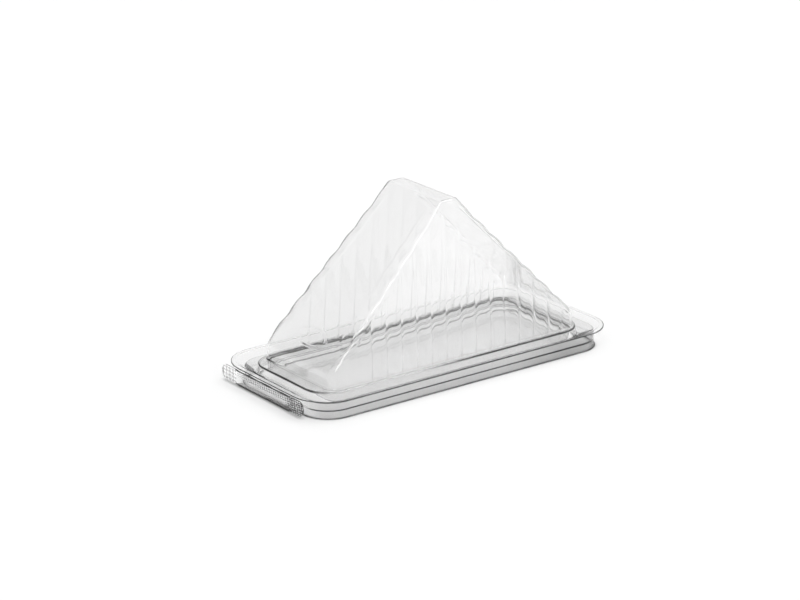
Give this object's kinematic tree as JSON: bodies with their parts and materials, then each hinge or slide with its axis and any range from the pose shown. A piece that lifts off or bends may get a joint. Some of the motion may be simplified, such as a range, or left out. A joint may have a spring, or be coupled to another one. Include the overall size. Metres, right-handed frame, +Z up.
{
  "type": "sandwich wedge pack",
  "caption": "Clear hinged clamshell for a sandwich wedge: fluted roof-shaped lid, shallow base tray, tear strip with finger tabs.",
  "frame": {"origin": "on the table, at the middle of the whole pack's footprint", "axes": "+X from the hinge to the opening end, +Y to the wide back flange, +Z up"},
  "size_m": [0.2056, 0.094, 0.1006],
  "materials": {
    "base_sheet": "clear glossy thermoformed sheet",
    "strip_sheet": "clear sheet with dimpled finger tabs",
    "lid_sheet": "clear glossy thermoformed sheet"
  },
  "bodies": {
    "base": {"base_tray": "base_sheet"},
    "strip": {"tear_strip": "strip_sheet"},
    "lid": {"lid": "lid_sheet"}
  },
  "joints": [
    {"name": "strip_fold", "type": "hinge", "parent": "base", "child": "strip", "pos_m": [-0.10193, 0, 0.0006], "axis": [0, -1, 0], "range_deg": [0, 90]},
    {"name": "lid_fold", "type": "hinge", "parent": "strip", "child": "lid", "pos_m": [-0.10193, 0, 0.00905], "axis": [0, -1, 0], "range_deg": [0, 90]}
  ],
  "couplings": [
    {"joint": "strip_fold", "follows": "lid_fold", "ratio": 1}
  ]
}
